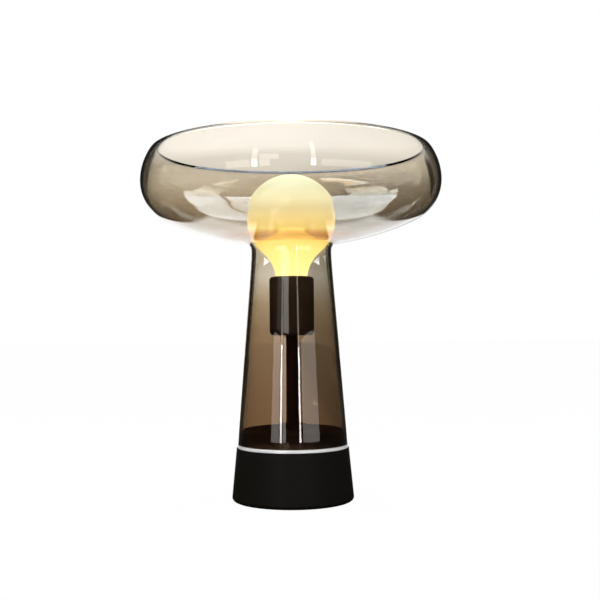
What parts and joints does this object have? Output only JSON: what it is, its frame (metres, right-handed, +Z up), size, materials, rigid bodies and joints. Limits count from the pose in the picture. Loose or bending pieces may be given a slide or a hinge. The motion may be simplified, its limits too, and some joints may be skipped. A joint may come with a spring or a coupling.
{
  "type": "mushroom table lamp",
  "caption": "Table lamp with a tapered smoke-glass column that opens into a wide mushroom bowl with a turned-in rim, a globe bulb on an inner stem and a turned black wooden base.",
  "frame": {"origin": "centre of the underside of the foot pad, on the lamp's axis", "axes": "+Z up along the lamp's axis; -Y is the front that the picture shows; +Y is the rear with the cord entry"},
  "size_m": [0.271, 0.271, 0.3187],
  "materials": {
    "wood_black_stain": "black stained, satin lacquer, fine grain showing",
    "ballast_iron": "raw cast",
    "cover_steel": "black powder coat",
    "screw_steel": "zinc plated",
    "foot_felt": "black pressed felt",
    "nut_brass": "turned",
    "ring_polished_steel": "polished",
    "gasket_clear": "clear soft silicone",
    "glass_smoke": "transparent smoke-brown blown glass, polished",
    "locator_plastic": "gloss black moulding",
    "stem_black": "gloss black",
    "holder_plastic": "satin black moulding",
    "holder_ceramic": "white porcelain",
    "contact_brass": "stamped",
    "bulb_opal_glass": "opal white, warm when lit",
    "bulb_cap_metal": "plain",
    "bulb_black_glass": "black vitrified insulator",
    "bulb_clear_glass": "clear",
    "bulb_tip_solder": "tinned",
    "filament_phosphor": "yellow phosphor coat",
    "support_wire": "drawn wire",
    "gland_rubber": "black",
    "block_plastic": "natural polyamide",
    "lead_brown": "brown insulation",
    "lead_blue": "blue insulation"
  },
  "bodies": {
    "base": {"base_turning": "wood_black_stain", "ballast_disc": "ballast_iron", "bottom_cover": "cover_steel", "cover_screws": "screw_steel", "foot_pad": "foot_felt", "stem_nipple": "screw_steel", "nipple_washer": "screw_steel", "nipple_nut": "nut_brass", "seat_ring": "ring_polished_steel", "seat_gasket": "gasket_clear", "glass_locator": "locator_plastic", "stem_collar": "stem_black", "stem_tube": "stem_black", "holder_nipple": "screw_steel", "holder_lock_nut": "nut_brass", "holder_cap": "holder_plastic", "holder_skirt": "holder_plastic", "holder_insert": "holder_ceramic", "holder_screw_shell": "contact_brass", "holder_centre_contact": "contact_brass", "holder_terminals": "contact_brass", "holder_terminal_screws": "screw_steel", "cord_gland": "gland_rubber", "terminal_block": "block_plastic", "terminal_screws": "screw_steel", "block_fixing_screw": "screw_steel", "lead_live": "lead_brown", "lead_neutral": "lead_blue"},
    "glass": {"glass_body": "glass_smoke"},
    "bulb_carrier": {"bulb_tip_contact": "bulb_tip_solder"},
    "bulb": {"bulb_globe": "bulb_opal_glass", "bulb_cap_shell": "bulb_cap_metal", "bulb_cap_insulator": "bulb_black_glass", "bulb_mount": "bulb_clear_glass", "bulb_filaments": "filament_phosphor", "bulb_support_wires": "support_wire"}
  },
  "joints": [
    {"name": "glass_lift", "type": "slide", "parent": "base", "child": "glass", "axis": [0, 0, 1], "range_m": [0, 0.0025]},
    {"name": "bulb_advance", "type": "slide", "parent": "base", "child": "bulb_carrier", "axis": [0, 0, 1], "range_m": [0, 0.02]},
    {"name": "bulb_turn", "type": "hinge", "parent": "bulb_carrier", "child": "bulb", "pos_m": [0, 0, 0.2553], "axis": [0, 0, 1], "range_deg": [0, 1980]}
  ],
  "couplings": [
    {"joint": "bulb_advance", "follows": "bulb_turn", "m_per_rad": 0.0005776}
  ]
}
